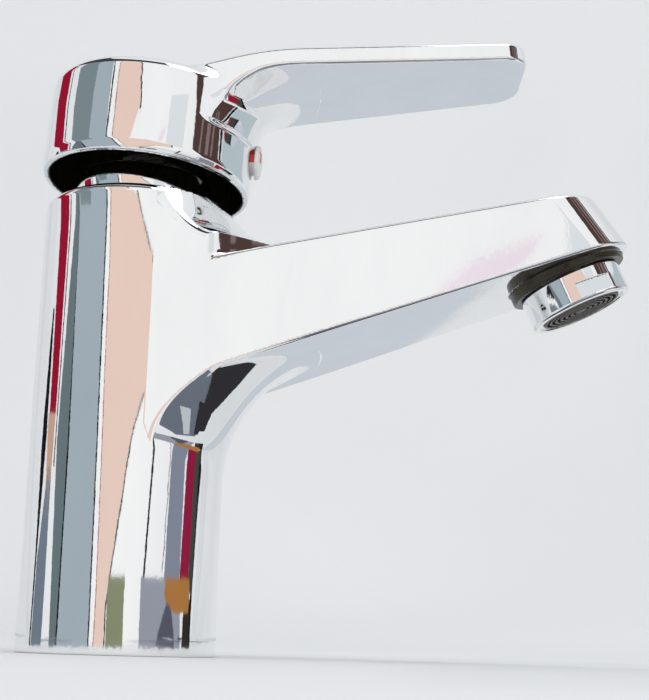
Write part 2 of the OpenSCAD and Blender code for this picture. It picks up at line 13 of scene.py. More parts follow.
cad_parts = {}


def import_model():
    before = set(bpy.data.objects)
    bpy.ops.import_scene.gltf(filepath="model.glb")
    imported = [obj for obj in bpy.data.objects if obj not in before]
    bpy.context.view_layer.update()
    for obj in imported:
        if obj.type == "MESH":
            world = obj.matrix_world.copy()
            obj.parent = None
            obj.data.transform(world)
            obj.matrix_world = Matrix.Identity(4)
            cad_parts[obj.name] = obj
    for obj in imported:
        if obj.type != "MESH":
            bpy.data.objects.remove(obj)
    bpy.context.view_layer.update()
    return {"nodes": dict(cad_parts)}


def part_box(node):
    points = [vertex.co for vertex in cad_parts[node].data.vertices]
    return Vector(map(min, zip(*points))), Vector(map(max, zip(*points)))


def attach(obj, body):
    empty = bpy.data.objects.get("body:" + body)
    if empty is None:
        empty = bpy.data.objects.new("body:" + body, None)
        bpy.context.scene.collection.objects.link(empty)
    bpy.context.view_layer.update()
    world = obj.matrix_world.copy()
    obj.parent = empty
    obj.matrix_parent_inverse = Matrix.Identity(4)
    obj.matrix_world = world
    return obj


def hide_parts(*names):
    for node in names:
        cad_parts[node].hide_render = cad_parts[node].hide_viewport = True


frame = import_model()
nodes = frame["nodes"]
scene = bpy.context.scene
MM = 0.001
# Size of the quads on the big castings, in millimetres
FINE = 0.36


def cosd(a):
    return math.cos(math.radians(a))


def sind(a):
    return math.sin(math.radians(a))


def tand(a):
    return math.tan(math.radians(a))


# ---------- distance fields: negative inside, in millimetres ----------

def union(a, b, r):
    """Union of two fields with a fillet of radius r in the corner between them."""
    u = np.maximum(r - a, 0)
    v = np.maximum(r - b, 0)
    return np.maximum(r, np.minimum(a, b)) - np.sqrt(u * u + v * v)


def both(a, b, r):
    """Intersection of two fields with an edge rounded to radius r."""
    return -union(-a, -b, r)


def cut(a, b, r):
    """Field a with b taken out, its edge rounded to radius r."""
    return both(a, -b, r)


def soft_min(a, b, k):
    """Smallest of two nearly parallel fields, blended over a difference of k."""
    h = np.maximum(k - np.abs(a - b), 0) / k
    return np.minimum(a, b) - h * h * k / 4


def rod(x, y, z, start, end, r):
    """A round-ended rod between two points."""
    a, b = np.array(start, float), np.array(end, float)
    d = b - a
    px, py, pz = x - a[0], y - a[1], z - a[2]
    t = np.clip((px * d[0] + py * d[1] + pz * d[2]) / (d @ d), 0, 1)
    return np.sqrt((px - t * d[0]) ** 2 + (py - t * d[1]) ** 2 + (pz - t * d[2]) ** 2) - r


def past(dx, dz, end):
    """Keeps the sector of a fillet from 0 to end degrees round its centre."""
    return np.maximum(dz * cosd(end) - dx * sind(end), -dz)


def tube_z(x, y, z, cx, cy, r, z0, z1):
    """An upright cylinder from z0 to z1."""
    return np.maximum(np.hypot(x - cx, y - cy) - r, np.maximum(z0 - z, z - z1))


def mesh_of(name, field, lo, hi, step, lean=None):
    """Meshes a field's zero surface, moves each point onto it and takes the normals from it.

    lean may turn the normals a little, which changes the shading and not the shape."""
    reach = 3 * step
    slab = 24
    axes = [np.arange(a - reach, b + reach + step, step) for a, b in zip(lo, hi)]
    y = axes[1][None, :, None]
    z = axes[2][None, None, :]
    grid = np.empty([len(a) for a in axes], np.float32)
    for i in range(0, len(axes[0]), slab):
        x = axes[0][i:i + slab, None, None]
        grid[i:i + slab] = np.clip(field(x, y, z), -reach, reach)
    volume = openvdb.FloatGrid(reach)
    volume.copyFromArray(grid)
    found, quads = volume.convertToQuads(isovalue=0)
    p = np.array([a[0] for a in axes]) + np.asarray(found, float) * step
    nudge = 0.02

    def slope(q):
        out = np.empty_like(q)
        for k in range(3):
            d = np.zeros(3)
            d[k] = nudge
            a, b = q + d, q - d
            out[:, k] = field(a[:, 0], a[:, 1], a[:, 2]) - field(b[:, 0], b[:, 1], b[:, 2])
        return out / (2 * nudge)

    for _ in range(4):
        g = slope(p)
        move = field(p[:, 0], p[:, 1], p[:, 2]) / np.maximum((g * g).sum(1), 0.05)
        move = np.clip(move, -0.6 * step, 0.6 * step)
        p -= move[:, None] * g
    g = slope(p)
    normals = g / np.maximum(np.linalg.norm(g, axis=1), 1e-9)[:, None]
    if lean:
        normals = lean(p, normals)
    quads = np.asarray(quads)
    # Faces run so that they look outward
    a, b, c = (p[quads[:, k]] for k in range(3))
    turned = (np.cross(b - a, c - a) * normals[quads[:, 0]]).sum(1)
    if np.median(turned) < 0:
        quads = quads[:, ::-1]
    mesh = bpy.data.meshes.new(name)
    mesh.vertices.add(len(p))
    mesh.vertices.foreach_set("co", (p * MM).astype(np.float32).ravel())
    mesh.loops.add(quads.size)
    mesh.loops.foreach_set("vertex_index", quads.astype(np.int32).ravel())
    mesh.polygons.add(len(quads))
    mesh.polygons.foreach_set("loop_start", np.arange(0, quads.size, 4, dtype=np.int32))
    mesh.polygons.foreach_set("use_smooth", np.ones(len(quads), bool))
    mesh.update(calc_edges=True)
    mesh.validate()
    mesh.normals_split_custom_set_from_vertices(normals.astype(np.float32))
    obj = bpy.data.objects.new(name, mesh)
    scene.collection.objects.link(obj)
    return obj


# ---------- sizes, as in the CAD source ----------

# Column and spout
COLUMN_R, COLUMN_H, SHOULDER_R = 25, 117, 2.4
REACH, LIP_H, UNDER_RISE, TOP_RISE = 129.5, 108, 20, 12.8
NOSE_LEAN, NOSE_L, NOSE_R = 35.5, 15.5, 13
ROOT_W, TIP_W, TAPER = 47.6, 39, 0.62
UNDER_R, SIDE_R = 37, 28
HUMP_SLOPE = 55
# Inside the body: the cartridge's seat, the recess under it, the ports and the waterway
SEAT_H, SEAT_BORE_R, NECK_BORE_R, NECK_BORE_H = 84, 17.6, 18.5, 108.4
RECESS_R, RECESS_H, PORT_TOP = 21.5, 46, 60
GROOVE_HALF, GROOVE_H = 0.8, 1.55
HOSE_X, HOSE_Y, HOSE_R, FEED_R = -5, 8.5, 4.5, 3
STUD_X, STUD_R = 12, 3.4
WAY_X, WAY_R, WAY_TOP_R, WAY_DROP = 8.5, 4.8, 4.2, 7.5
# Outlet and aerator
RIM_DROP, OUTLET_BACK, OUTLET_TILT = 10.6, 15.2, 23.5
COLLAR_R, COLLAR_L, AERATOR_H = 15.6, 5, 8.2
THREAD_R, THREAD_L, OUTLET_BORE_R, OUTLET_BORE_L = 12, 6.6, 8.4, 10
RING_R, RING_EDGE, FLAT_HALF, FLAT_TURN = 13.6, 0.9, 12.6, 10.5
# Handle
PIVOT_Z, CAP_LEAN = 110.2, 4
CAP_R, CAP_BULGE, CAP_H, RIM_RISE = 27.6, 0.7, 26, 14
CAP_WALL, CAP_ROOF = 1.6, 4
LEVER_REACH, LEVER_ROOT_W, LEVER_TIP_W, LEVER_T = 102.9, 43.2, 27.4, 5
RAMP_X, RAMP_RISE, BLADE_X, BLADE_RISE = 16, 18.7, 34, 5.6
WEB_R, WEB_Z, WEB_END = 19, 27.1, 80.4
HUB_R, HUB_LOW, HUB_HIGH = 7.6, 21, 39
SQUARE_HALF, SQUARE_TOP = 4.05, 35.9
GRUB_Z, GRUB_R, PLUG_BORE_R, PLUG_BORE_X = 24.4, 2.1, 3.6, 10.6
PLUG_R, PLUG_FACE, PLUG_BACK = 4.6, 30.4, 28.7


def under_z(x):
    return LIP_H - (REACH - x) * tand(UNDER_RISE)


NOSE_TOP_X = REACH - NOSE_L * sind(NOSE_LEAN)
NOSE_TOP_Z = LIP_H + NOSE_L * cosd(NOSE_LEAN)


def top_z(x):
    return NOSE_TOP_Z - (NOSE_TOP_X - x) * tand(TOP_RISE)


OUTLET_X = REACH - OUTLET_BACK
RIM_X = OUTLET_X + RIM_DROP * sind(OUTLET_TILT)
RIM_Z = under_z(OUTLET_X) - RIM_DROP * cosd(OUTLET_TILT)


def at_outlet(x, z):
    """Place in the outlet's frame: along its tilt, from the aerator's rim up."""
    dx, dz = x - RIM_X, z - RIM_Z
    return (dx * cosd(OUTLET_TILT) + dz * sind(OUTLET_TILT),
            dz * cosd(OUTLET_TILT) - dx * sind(OUTLET_TILT))


def at_spindle(x, z):
    """Place in the leaning frame of the closed handle, from the pivot up."""
    dz = z - PIVOT_Z
    return (x * cosd(CAP_LEAN) - dz * sind(CAP_LEAN),
            x * sind(CAP_LEAN) + dz * cosd(CAP_LEAN))


# ---------- body ----------

def spout_field(x, y, z, r):
    """The flat spout with its flare into the column below and its hump above."""
    u = (x - REACH) * cosd(NOSE_LEAN) + (z - LIP_H) * sind(NOSE_LEAN)
    straight = u + TAPER * REACH
    slope = (ROOT_W - TIP_W) / 2 / (TAPER * REACH - NOSE_R)
    half = ROOT_W / 2 - slope * 0.5 * (straight + np.sqrt(straight ** 2 + 36))
    side = (np.abs(y) - half) * math.cos(math.atan(slope))
    plan = both(side, u, NOSE_R)
    # Underside: a sloping plane, joined to the column by a flare
    under = (under_z(x) - z) * cosd(UNDER_RISE)
    flare_r = SIDE_R + (UNDER_R - SIDE_R) * (x / np.maximum(r, 1)) ** 2
    cx = COLUMN_R + flare_r
    cz = under_z(COLUMN_R) - flare_r / tand((90 + UNDER_RISE) / 2)
    flare = np.maximum(flare_r - np.hypot(r - cx, z - cz), past(cx - r, z - cz, 90 - UNDER_RISE))
    low = soft_min(under, flare, 0.8)
    # Top: a sloping plane, and a hump that falls away faster at the sides
    top = (z - top_z(x)) * cosd(TOP_RISE)
    rim_r = COLUMN_R - 0.6
    rise = COLUMN_H - top_z(rim_r)
    hump_r = rise / (1 / cosd(TOP_RISE) - cosd(HUMP_SLOPE) + sind(HUMP_SLOPE) * tand(TOP_RISE))
    hx = rim_r + hump_r * sind(HUMP_SLOPE)
    hz = COLUMN_H + hump_r * cosd(HUMP_SLOPE)
    faster = 1 + 2 * (y / (ROOT_W / 2)) ** 2
    q = rim_r + (r - rim_r) * faster
    hump = np.maximum(hump_r - np.hypot(q - hx, z - hz), q - hx) / np.sqrt(faster)
    high = soft_min(top, np.maximum(hump, z - COLUMN_H + 0.5), 1.5)
    out = both(low, plan, 0.8)
    out = both(both(high, u, 2.6), out, 1.1)
    return np.maximum(out, -x)


def body_field(x, y, z):
    """Column, spout and outlet in one casting, with the hollows of the CAD body."""
    r = np.hypot(x, y)
    column = both(both(r - COLUMN_R, z - COLUMN_H, SHOULDER_R), -z, 0.4)
    out = np.minimum(column, spout_field(x, y, z, r))
    ox, oz = at_outlet(x, z)
    rho = np.hypot(ox, y)
    collar = both(both(rho - COLLAR_R, AERATOR_H + 0.2 - oz, 0.5), oz - AERATOR_H - COLLAR_L, 0.2)
    out = union(out, collar, 0.5)
    recess = both(r - RECESS_R, z - RECESS_H, 1.5)
    out = cut(out, recess, 0.4)
    groove_r = (COLUMN_R + RECESS_R) / 2 - 0.2
    out = cut(out, np.maximum(np.abs(r - groove_r) - GROOVE_HALF, z - GROOVE_H), 0.15)
    bore = np.minimum(np.maximum(r - SEAT_BORE_R, SEAT_H - z),
                      np.maximum(r - NECK_BORE_R, NECK_BORE_H - z))
    out = cut(out, bore, 0.2)
    ports = ((HOSE_X, -HOSE_Y, HOSE_R), (HOSE_X, HOSE_Y, HOSE_R), (STUD_X, 0, STUD_R))
    for px, py, pr in ports:
        out = cut(out, tube_z(x, y, z, px, py, pr, RECESS_H - 2, PORT_TOP), 0.3)
    for py in (-HOSE_Y, HOSE_Y):
        out = np.maximum(out, -tube_z(x, y, z, HOSE_X, py, FEED_R, RECESS_H, SEAT_H + 1))
    start = (WAY_X, 0, SEAT_H - WAY_DROP)
    end = (OUTLET_X - 2, 0, under_z(OUTLET_X) + 7.6)
    way = np.minimum(rod(x, y, z, start, end, WAY_R),
                     tube_z(x, y, z, WAY_X, 0, WAY_TOP_R, start[2], SEAT_H + 1))
    out = np.maximum(out, -way)
    mouth = np.minimum(both(rho - THREAD_R, oz - AERATOR_H - THREAD_L, 0.3),
                       np.maximum(rho - OUTLET_BORE_R, oz - AERATOR_H - OUTLET_BORE_L))
    return cut(out, mouth, 0.2)


# ---------- handle ----------

def cap_out(h):
    """Radius of the cap at height h: a straight wall, drawn in at the rim and under the crown."""
    at_rim = np.clip(1 - h / 2.8, 0, 1)
    at_crown = np.clip((h - 15) / (CAP_H - 15), 0, 1)
    return CAP_R + CAP_BULGE * (0.7 - 0.7 * at_rim ** 2 - 0.4 * at_crown ** 2)


def lever_lines(x):
    """Heights of the lever's top at x: on the ramp beside the cap, and on the blade."""
    above_crown = 1.4
    ramp_z = PIVOT_Z + (RIM_RISE + CAP_H) * cosd(CAP_LEAN) - RAMP_X * sind(CAP_LEAN) + above_crown
    blade_z = ramp_z + (BLADE_X - RAMP_X) * tand(RAMP_RISE)
    return ramp_z + (x - RAMP_X) * tand(RAMP_RISE), blade_z + (x - BLADE_X) * tand(BLADE_RISE)


def handle_field(x, y, z):
    """Hollow cap and flat lever in one casting, with the hub that sits on the spindle."""
    sx, sz = at_spindle(x, z)
    r = np.hypot(sx, y)
    h = sz - RIM_RISE
    wall = r - cap_out(h)
    crown = sz - (RIM_RISE + CAP_H + 0.6 * (1 - (r / 25) ** 2))
    cap = both(both(wall, crown, 3.0), -h, 0.35)
    ramp, blade = lever_lines(x)
    high = -soft_min(ramp - z, blade - z, 2.2)
    low = soft_min(ramp, blade, 2.2) - LEVER_T - z
    slope = (LEVER_ROOT_W - LEVER_TIP_W) / 2 / (LEVER_REACH - 24.5)
    half = LEVER_ROOT_W / 2 - np.maximum(x - 17.5, -3) * slope
    side = (np.abs(y) - half) * math.cos(math.atan(slope))
    tip = (x - LEVER_REACH + (z - 162) * 0.12) * 0.99
    plan = np.maximum(both(side, tip, 7.0), 6 - x)
    cx = CAP_R + CAP_BULGE + WEB_R
    web = np.maximum(WEB_R - np.hypot(r - cx, sz - WEB_Z), past(cx - r, sz - WEB_Z, WEB_END))
    low = soft_min(low, web, 0.8)
    lever = both(both(both(high, tip, 2.0), plan, 1.1), low, 0.8)
    out = union(cap, lever, 2.0)
    hollow = both(r - cap_out(h) + CAP_WALL, h - CAP_H + CAP_ROOF, 2.5)
    out = cut(out, hollow, 0.3)
    hub = np.maximum(np.maximum(r - HUB_R, HUB_LOW - sz), sz - HUB_HIGH)
    out = union(out, hub, 0.8)
    socket = np.maximum(np.maximum(np.abs(sx), np.abs(y)) - SQUARE_HALF,
                        np.maximum(HUB_LOW - 1 - sz, sz - SQUARE_TOP))
    out = np.maximum(out, -socket)
    reach = np.hypot(y, sz - GRUB_Z)
    out = np.maximum(out, -np.maximum(reach - GRUB_R, np.abs(sx - 5) - 5))
    return cut(out, np.maximum(reach - PLUG_BORE_R, PLUG_BORE_X - sx), 0.25)


# ---------- aerator ring and plug ----------

def ring_field(x, y, z):
    """The aerator's chromed ring with two spanner flats."""
    ox, oz = at_outlet(x, z)
    rho = np.hypot(ox, y)
    out = both(both(rho - RING_R, -oz, RING_EDGE), oz - AERATOR_H, 0.35)
    out = np.minimum(out, np.maximum(np.maximum(rho - 11.95, 3 - oz), oz - AERATOR_H - 5.4))
    fx = ox * cosd(FLAT_TURN) + y * sind(FLAT_TURN)
    fy = y * cosd(FLAT_TURN) - ox * sind(FLAT_TURN)
    flat = np.maximum(FLAT_HALF - np.abs(fy), np.abs(oz - 2.85) - 1.95)
    out = cut(out, np.maximum(flat, np.abs(fx) - 14), 0.18)
    lip = np.maximum(rho - 10.6, oz - 2)
    step = both(rho - 11.7, oz - 0.6, 0.2)
    out = cut(cut(out, lip, 0.12), step, 0.12)
    return np.maximum(out, -np.maximum(rho - 10.8, 1.2 - oz))


def plug_field(x, y, z):
    """The index plug: a low button, with a stem in the cap's front."""
    sx, sz = at_spindle(x, z)
    reach = np.hypot(y, sz - GRUB_Z)
    crowned = sx - PLUG_FACE + reach ** 2 * 0.02
    head = both(both(reach - PLUG_R, crowned, 0.8), PLUG_BACK - sx, 0.15)
    return np.minimum(head, np.maximum(np.maximum(reach - 3.5, 25 - sx), sx - 29))


def box_of(name):
    """Corners of a node's box, in millimetres."""
    return [np.array(corner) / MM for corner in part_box(name)]


def leaning_sides(p, n):
    """Normals of the spout's flat sides, leaned back as if the sides had draft, most low down.

    The sides then mirror what stands higher up. Only the shading leans: the faces stay upright."""
    flat = np.clip((np.abs(n[:, 1]) - 0.93) / 0.05, 0, 1) * (np.abs(n[:, 2]) < 0.2)
    beside = np.abs(p[:, 1]) < np.sqrt(np.maximum(COLUMN_R ** 2 - p[:, 0] ** 2, 0)) + 0.02
    flat *= ~(beside & (p[:, 0] < COLUMN_R)) & (p[:, 0] > 6) & (p[:, 2] > 50)
    lean = np.tan(np.radians(np.interp(p[:, 2], (62, 85, 110), (8.5, 4.5, 2.3))))
    n = n.copy()
    n[:, 2] += np.maximum(lean - n[:, 2], 0) * flat
    return n / np.linalg.norm(n, axis=1)[:, None]


def build(name, field, node, body, step, lean=None):
    """Meshes a field in place of a CAD node, and lets it ride that node's body."""
    obj = mesh_of(name, field, *box_of(node), step, lean)
    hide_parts(node)
    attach(obj, body)
    return obj


casting = build("body_casting", body_field, "body", "fixed_body", FINE, leaning_sides)
lever = build("handle_casting", handle_field, "handle", "lever", FINE)
ring = build("aerator_ring", ring_field, "aerator_housing", "fixed_body", FINE / 2)
button = build("index_button", plug_field, "index_plug", "lever", FINE / 3)


def neck_cover():
    """The turned neck ring, from its profile with rounded edges."""
    profile = []
    z0, z1 = COLUMN_H + 0.05, COLUMN_H + 8.65
    inner, outer, lip = 16.9, 18.1, 13.4

    def corner(cx, cz, r, a, b, n=10):
        for i in range(n + 1):
            t = math.radians(a + (b - a) * i / n)
            profile.append((cx + r * math.cos(t), cz + r * math.sin(t)))

    corner(inner + 0.15, z0 + 0.15, 0.15, 180, 270, 4)
    corner(outer - 0.3, z0 + 0.3, 0.3, 270, 360, 6)
    corner(outer - 1.4, z1 - 1.4, 1.4, 0, 90)
    corner(lip + 0.2, z1 - 0.2, 0.2, 90, 180, 4)
    corner(lip + 0.2, z1 - 1.0, 0.2, 180, 270, 4)
    corner(inner - 0.4, z1 - 1.6, 0.4, 90, 0, 4)
    n, m = 256, len(profile)
    verts = [(r * math.cos(2 * math.pi * i / n) * MM, r * math.sin(2 * math.pi * i / n) * MM, z * MM)
             for i in range(n) for r, z in profile]
    faces = [(i * m + j, ((i + 1) % n) * m + j, ((i + 1) % n) * m + (j + 1) % m, i * m + (j + 1) % m)
             for i in range(n) for j in range(m)]
    mesh = bpy.data.meshes.new("neck_cover")
    mesh.from_pydata(verts, [], faces)
    mesh.update()
    mesh.polygons.foreach_set("use_smooth", np.ones(len(faces), bool))
    mesh.set_sharp_from_angle(angle=math.radians(40))
    obj = bpy.data.objects.new("neck_cover", mesh)
    scene.collection.objects.link(obj)
    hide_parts("neck_ring")
    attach(obj, "fixed_body")
    return obj


neck = neck_cover()


# ---------- materials ----------

class Graph:
    """A small helper for building a material's nodes."""

    def __init__(self, name):
        self.mat = bpy.data.materials.new(name)
        self.mat.use_nodes = True
        self.tree = self.mat.node_tree
        self.shader = self.tree.nodes["Principled BSDF"]
        coords = self.tree.nodes.new("ShaderNodeTexCoord")
        self.place = coords.outputs["Object"]

    def add(self, kind, **values):
        node = self.tree.nodes.new("ShaderNode" + kind)
        for key, value in values.items():
            setattr(node, key, value)
        return node

    def link(self, a, b):
        self.tree.links.new(a, b)

    def set(self, **values):
        for key, value in values.items():
            self.shader.inputs[key.replace("_", " ")].default_value = value

    def noise(self, scale, detail=4, rough=0.5, stretch=(1, 1, 1), distort=0.0):
        mapping = self.add("Mapping")
        mapping.inputs["Scale"].default_value = stretch
        self.link(self.place, mapping.inputs["Vector"])
        node = self.add("TexNoise")
        node.inputs["Scale"].default_value = scale
        node.inputs["Detail"].default_value = detail
        node.inputs["Roughness"].default_value = rough
        node.inputs["Distortion"].default_value = distort
        self.link(mapping.outputs["Vector"], node.inputs["Vector"])
        return node.outputs["Fac"]

    def ramp(self, fac, stops):
        node = self.add("ValToRGB")
        ramp = node.color_ramp
        while len(ramp.elements) < len(stops):
            ramp.elements.new(0.5)
        for element, (at, colour) in zip(ramp.elements, stops):
            element.position = at
            element.color = colour if len(colour) == 4 else (*colour, 1)
        self.link(fac, node.inputs["Fac"])
        return node.outputs["Color"]

    def spread(self, fac, low, high):
        node = self.add("MapRange")
        node.inputs["To Min"].default_value = low
        node.inputs["To Max"].default_value = high
        self.link(fac, node.inputs["Value"])
        return node.outputs["Result"]

    def bump(self, height, strength, distance, before=None):
        node = self.add("Bump")
        node.inputs["Strength"].default_value = strength
        node.inputs["Distance"].default_value = distance
        self.link(height, node.inputs["Height"])
        if before is not None:
            self.link(before, node.inputs["Normal"])
        return node.outputs["Normal"]

    def done(self, normal=None):
        if normal is not None:
            self.link(normal, self.shader.inputs["Normal"])
        return self.mat


def grey(v, tint=0.0):
    return (v * (1 - tint), v, v * (1 + tint), 1)


def chrome(name, waves=0.05):
    """Polished chrome: faint buffing haze, water spots and the slow waves of a hand-polished casting."""
    g = Graph(name)
    g.set(Metallic=1.0)
    haze = g.noise(55, 5, 0.6, (1, 1, 0.35), 0.4)
    g.link(g.ramp(haze, [(0.3, grey(0.90, 0.006)), (0.7, grey(0.95, 0.004))]), g.shader.inputs["Base Color"])
    spots = g.noise(420, 2, 0.5)
    spotted = g.ramp(spots, [(0.70, (0, 0, 0)), (0.80, (1, 1, 1))])
    mix = g.add("MixRGB", blend_type="ADD")
    mix.inputs["Fac"].default_value = 0.05
    g.link(g.spread(haze, 0.012, 0.055), mix.inputs["Color1"])
    g.link(spotted, mix.inputs["Color2"])
    g.link(mix.outputs["Color"], g.shader.inputs["Roughness"])
    slow = g.noise(22, 1.5, 0.4, (1.0, 1.0, 0.45))
    fine = g.noise(900, 3, 0.6, (1, 1, 0.3))
    first = g.bump(slow, waves, 0.004)
    return g.done(g.bump(fine, 0.012, 0.0004, first))


def plain(name, colour, rough, metallic=0.0, scale=160, change=0.12, bump=0.1, stretch=(1, 1, 1)):
    """A moulded, cast or sintered surface: tone, roughness and grain vary a little."""
    g = Graph(name)
    g.set(Metallic=metallic)
    tone = g.noise(scale, 5, 0.6, stretch, 0.2)
    lows = [c * (1 - change) for c in colour]
    highs = [min(1, c * (1 + change)) for c in colour]
    g.link(g.ramp(tone, [(0.3, lows), (0.7, highs)]), g.shader.inputs["Base Color"])
    g.link(g.spread(tone, rough * 0.8, rough * 1.25), g.shader.inputs["Roughness"])
    grain = g.noise(scale * 9, 3, 0.6, stretch)
    return g.done(g.bump(grain, bump, 0.0002))


def index_face():
    """White button with a small red and a small blue segment."""
    g = Graph("index_white")
    g.set(Roughness=0.32)
    g.shader.inputs["Coat Weight"].default_value = 0.3
    tone = g.noise(300, 3)
    white = g.ramp(tone, [(0.3, (0.86, 0.86, 0.85)), (0.7, (0.92, 0.92, 0.91))])
    split = g.add("SeparateXYZ")
    g.link(g.place, split.inputs["Vector"])
    mark_low, mark_high, mark_in, mark_out = 131.4, 134.4, 1.2, 3.9
    red, blue = (0.75, 0.05, 0.04), (0.06, 0.16, 0.62)

    def band(value, low, high):
        a = g.add("Math", operation="GREATER_THAN")
        b = g.add("Math", operation="LESS_THAN")
        between = g.add("Math", operation="MULTIPLY")
        g.link(value, a.inputs[0])
        g.link(value, b.inputs[0])
        a.inputs[1].default_value = low
        b.inputs[1].default_value = high
        g.link(a.outputs[0], between.inputs[0])
        g.link(b.outputs[0], between.inputs[1])
        return between.outputs[0]

    colour = white
    for paint, low, high in ((red, -mark_out, -mark_in), (blue, mark_in, mark_out)):
        across = band(split.outputs["Y"], low * MM, high * MM)
        up = band(split.outputs["Z"], mark_low * MM, mark_high * MM)
        mask = g.add("Math", operation="MULTIPLY")
        g.link(across, mask.inputs[0])
        g.link(up, mask.inputs[1])
        mix = g.add("MixRGB")
        mix.inputs["Color2"].default_value = (*paint, 1)
        g.link(mask.outputs[0], mix.inputs["Fac"])
        g.link(colour, mix.inputs["Color1"])
        colour = mix.outputs["Color"]
    g.link(colour, g.shader.inputs["Base Color"])
    return g.done(g.bump(tone, 0.03, 0.0002))


def turned(name, colour, rough):
    """Turned or cast metal with fine tool rings."""
    return plain(name, colour, rough, 1.0, 220, 0.08, 0.15, (1, 1, 6))


body_chrome = chrome("chrome_body")
lever_chrome = chrome("chrome_handle", 0.04)
small_chrome = chrome("chrome_small", 0.02)
# Near-black as-cast metal: partly the bare inside of the casting, partly painted shade in the hollows, on
# the collar's wall and inside the cap
as_cast_and_shade = plain("as_cast_and_painted_shade", (0.055, 0.048, 0.034), 0.28, 0.7, 90, 0.45, 0.2, (1, 1, 0.4))
brass = turned("turned_brass", (0.72, 0.52, 0.22), 0.28)
steel = turned("zinced_steel", (0.62, 0.62, 0.6), 0.32)
white_plastic = plain("moulded_white", (0.82, 0.82, 0.79), 0.42)
grey_plastic = plain("moulded_grey", (0.42, 0.43, 0.44), 0.45)
ceramic = plain("sintered_ceramic", (0.86, 0.84, 0.80), 0.12, 0.0, 500, 0.04, 0.02)
rubber = plain("moulded_rubber", (0.028, 0.028, 0.03), 0.62, 0.0, 240, 0.25, 0.2)
insert = plain("insert_plastic", (0.045, 0.040, 0.022), 0.42, 0.0, 260, 0.2, 0.12)
mesh_steel = plain("fine_screen", (0.5, 0.5, 0.48), 0.35, 1.0, 1600, 0.3, 0.5)

FINISH = {
    "base_gasket": rubber, "neck_o_ring": rubber, "seat_seals": rubber, "port_seals": rubber,
    "aerator_washer": rubber, "cartridge_nut": brass, "cartridge_housing": white_plastic,
    "cartridge_base": grey_plastic, "fixed_disc": ceramic, "moving_disc": ceramic,
    "disc_carrier": grey_plastic, "slip_ring": white_plastic, "swivel_guide": white_plastic,
    "pivot_pin": steel, "spindle": steel, "grub_screw": steel, "aerator_cage": white_plastic,
    "aerator_screens": mesh_steel, "aerator_grid": insert,
}


def coat(obj, material):
    """Makes this the object's only material."""
    obj.data.materials.clear()
    obj.data.materials.append(material)


for node, material in FINISH.items():
    obj = nodes[node]
    for s in obj.material_slots:
        s.material = material


def dark_inside(obj, material, inside):
    """Gives a second finish to the faces whose centres inside() picks, in millimetres: the near-black metal,
    which paints the shade in the hollows.
    """
    mesh = obj.data
    mesh.materials.append(material)
    centres = np.empty(3 * len(mesh.polygons), np.float32)
    mesh.polygons.foreach_get("center", centres)
    chosen = inside(centres.reshape(-1, 3) / MM)
    mesh.polygons.foreach_set("material_index", chosen.astype(np.int32))


def under_cap(p):
    """The cap's hollow, whose faces get near-black metal as painted shade."""
    sx, sz = at_spindle(p[:, 0], p[:, 2])
    r = np.hypot(sx, p[:, 1])
    h = sz - RIM_RISE
    return (r < cap_out(h) - 1.1) & (h < CAP_H - 3)


def hollows(p):
    """The collar over the aerator, the outlet's bore and the recess under the column, whose faces get
    near-black metal as painted shade.
    """
    ox, oz = at_outlet(p[:, 0], p[:, 2])
    rho = np.hypot(ox, p[:, 1])
    # This takes in the collar's outer wall, which the near-black metal paints in shade
    neck = (rho < COLLAR_R + 0.35) & (oz < RIM_DROP + 3) & (oz > 5)
    bore = (rho < THREAD_R + 0.4) & (np.abs(oz - AERATOR_H - 4) < 8)
    under = (np.hypot(p[:, 0], p[:, 1]) < RECESS_R + 0.3) & (p[:, 2] < SEAT_H)
    return neck | bore | under


coat(casting, body_chrome)
# Painted shade: the body's hollows and the collar's wall get the near-black metal
dark_inside(casting, as_cast_and_shade, hollows)
coat(lever, lever_chrome)
dark_inside(lever, as_cast_and_shade, under_cap)
coat(ring, small_chrome)
coat(neck, small_chrome)
coat(button, index_face())


# ---------- stage ----------

def floor():
    """A pale sheet that runs from the floor up behind the object without an edge."""
    g = Graph("pale_sheet")
    g.set(Roughness=0.9)
    weave = g.noise(700, 2, 0.5)
    # The slow tone change paints the light and shade of cloth folds; the sheet itself is smooth
    fold_shade = g.noise(1.5, 2, 0.4, (1.0, 1.0, 0.6), 0.5)
    tone = g.ramp(fold_shade, [(0.3, grey(0.80, 0.014)), (0.62, grey(0.88, 0.010))])
    g.link(tone, g.shader.inputs["Base Color"])
    mat = g.done(g.bump(weave, 0.15, 0.0005))
    back, bend, wide, high = 1.1, 0.6, 3.0, 3.0
    line = [(-3.0, 0.0), (back - bend, 0.0)]
    for i in range(1, 25):
        a = math.radians(90 * i / 24)
        line.append((back - bend + bend * math.sin(a), bend - bend * math.cos(a)))
    line.append((back, high))
    verts = [(x, y, z) for y, z in line for x in (-wide, wide)]
    faces = [(2 * i, 2 * i + 1, 2 * i + 3, 2 * i + 2) for i in range(len(line) - 1)]
    mesh = bpy.data.meshes.new("floor")
    mesh.from_pydata(verts, [], faces)
    mesh.polygons.foreach_set("use_smooth", np.ones(len(faces), bool))
    obj = bpy.data.objects.new("floor", mesh)
    obj.data.materials.append(mat)
    scene.collection.objects.link(obj)


def glow(name, colour):
    """A material that only gives light."""
    mat = bpy.data.materials.new(name)
    mat.use_nodes = True
    tree = mat.node_tree
    tree.nodes.clear()
    out = tree.nodes.new("ShaderNodeOutputMaterial")
    emit = tree.nodes.new("ShaderNodeEmission")
    emit.inputs["Color"].default_value = (*colour, 1)
    emit.inputs["Strength"].default_value = 1.0
    tree.links.new(emit.outputs[0], out.inputs["Surface"])
    return mat


